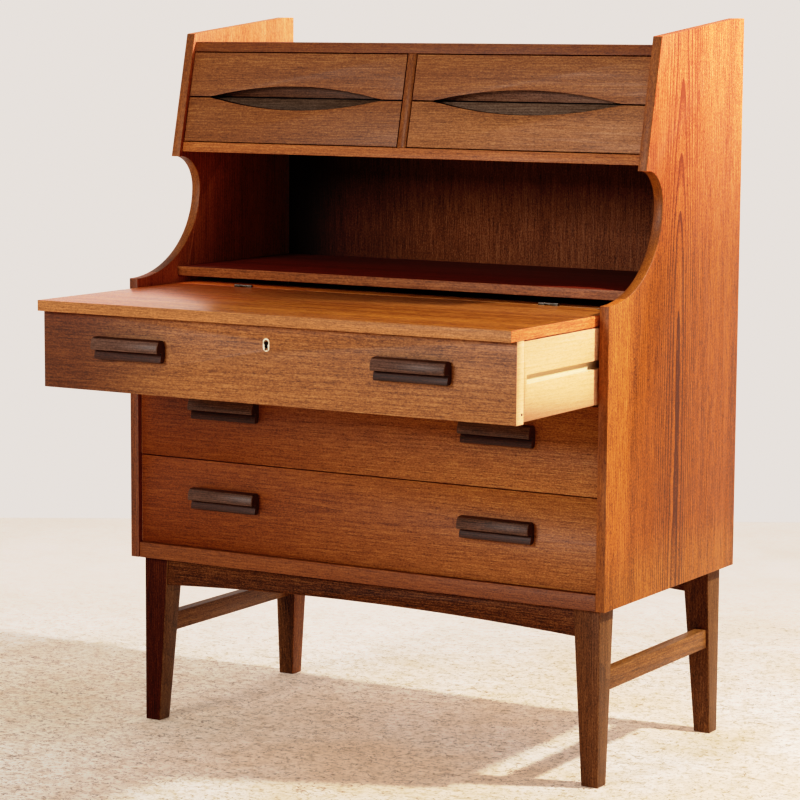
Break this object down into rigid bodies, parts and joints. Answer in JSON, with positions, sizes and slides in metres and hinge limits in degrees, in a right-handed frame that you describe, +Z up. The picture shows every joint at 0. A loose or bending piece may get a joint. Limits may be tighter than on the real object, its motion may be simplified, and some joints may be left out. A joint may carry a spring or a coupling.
{
  "type": "secretary desk",
  "caption": "Teak secretary desk on a dark tapered base, with a pull-out writing drawer under a hinged lid, wide drawers below, an open shelf and small slanted drawers above.",
  "frame": {"origin": "bottom centre of the bounding box, on the floor, with the writing drawer drawn out", "axes": "+Z up, +Y to the back, +X to the right of someone who faces the drawers"},
  "size_m": [0.89, 0.7548, 1.185],
  "materials": {
    "teak": "oiled teak veneer, satin",
    "teak_dark": "dark red-brown stained teak, satin",
    "stained_wood": "near-black brown stained hardwood, satin",
    "beech": "pale lacquered beech",
    "plywood": "thin plain plywood",
    "rosewood": "dark polished hardwood",
    "steel": "plated steel",
    "ivory_plate": "cream inlay, polished"
  },
  "bodies": {
    "carcass": {"side_panel_left": "teak", "side_panel_right": "teak", "bottom_panel": "teak", "back_panel": "teak_dark", "desk_shelf": "teak_dark", "upper_floor_panel": "teak", "top_panel": "teak", "upper_divider": "teak", "upper_middle_shelf": "plywood", "desk_runner_left": "stained_wood", "desk_runner_right": "stained_wood", "middle_runner_left": "stained_wood", "middle_runner_right": "stained_wood", "lower_runner_left": "stained_wood", "lower_runner_right": "stained_wood", "leg_front_left": "stained_wood", "leg_front_right": "stained_wood", "leg_rear_left": "stained_wood", "leg_rear_right": "stained_wood", "apron_front": "stained_wood", "apron_rear": "stained_wood", "stretcher_left": "stained_wood", "stretcher_right": "stained_wood"},
    "writing_drawer": {"desk_drawer_front": "teak", "desk_drawer_side_left": "beech", "desk_drawer_side_right": "beech", "desk_drawer_back": "beech", "desk_drawer_bottom": "plywood", "desk_rear_strip": "teak", "desk_handle_left": "rosewood", "desk_handle_right": "rosewood", "desk_escutcheon": "ivory_plate", "desk_lock_case": "steel", "strip_hinge_leaf_left": "steel", "strip_hinge_leaf_right": "steel"},
    "lid": {"writing_lid": "teak", "lid_hinge_leaf_left": "steel", "lid_hinge_leaf_right": "steel"},
    "middle_drawer": {"middle_drawer_front": "teak", "middle_drawer_side_left": "beech", "middle_drawer_side_right": "beech", "middle_drawer_back": "beech", "middle_drawer_bottom": "plywood", "middle_handle_left": "rosewood", "middle_handle_right": "rosewood"},
    "lower_drawer": {"lower_drawer_front": "teak", "lower_drawer_side_left": "beech", "lower_drawer_side_right": "beech", "lower_drawer_back": "beech", "lower_drawer_bottom": "plywood", "lower_handle_left": "rosewood", "lower_handle_right": "rosewood"},
    "small_drawer_lower_left": {"small_drawer_lower_left_front": "teak", "small_drawer_lower_left_tray": "stained_wood"},
    "small_drawer_upper_left": {"small_drawer_upper_left_front": "teak", "small_drawer_upper_left_tray": "stained_wood"},
    "small_drawer_lower_right": {"small_drawer_lower_right_front": "teak", "small_drawer_lower_right_tray": "stained_wood"},
    "small_drawer_upper_right": {"small_drawer_upper_right_front": "teak", "small_drawer_upper_right_tray": "stained_wood"}
  },
  "joints": [
    {"name": "writing_drawer_slide", "type": "slide", "parent": "carcass", "child": "writing_drawer", "axis": [0, -1, 0], "range_m": [-0.262, 0]},
    {"name": "lid_hinge", "type": "hinge", "parent": "writing_drawer", "child": "lid", "pos_m": [0, 0.0049, 0.7383], "axis": [-1, 0, 0], "range_deg": [0, 96]},
    {"name": "middle_drawer_slide", "type": "slide", "parent": "carcass", "child": "middle_drawer", "axis": [0, -1, 0], "range_m": [0, 0.32]},
    {"name": "lower_drawer_slide", "type": "slide", "parent": "carcass", "child": "lower_drawer", "axis": [0, -1, 0], "range_m": [0, 0.32]},
    {"name": "small_drawer_lower_left_slide", "type": "slide", "parent": "carcass", "child": "small_drawer_lower_left", "axis": [0, 1, 0], "range_m": [-0.15, 0]},
    {"name": "small_drawer_upper_left_slide", "type": "slide", "parent": "carcass", "child": "small_drawer_upper_left", "axis": [0, 1, 0], "range_m": [-0.15, 0]},
    {"name": "small_drawer_lower_right_slide", "type": "slide", "parent": "carcass", "child": "small_drawer_lower_right", "axis": [0, 1, 0], "range_m": [-0.15, 0]},
    {"name": "small_drawer_upper_right_slide", "type": "slide", "parent": "carcass", "child": "small_drawer_upper_right", "axis": [0, 1, 0], "range_m": [-0.15, 0]}
  ]
}
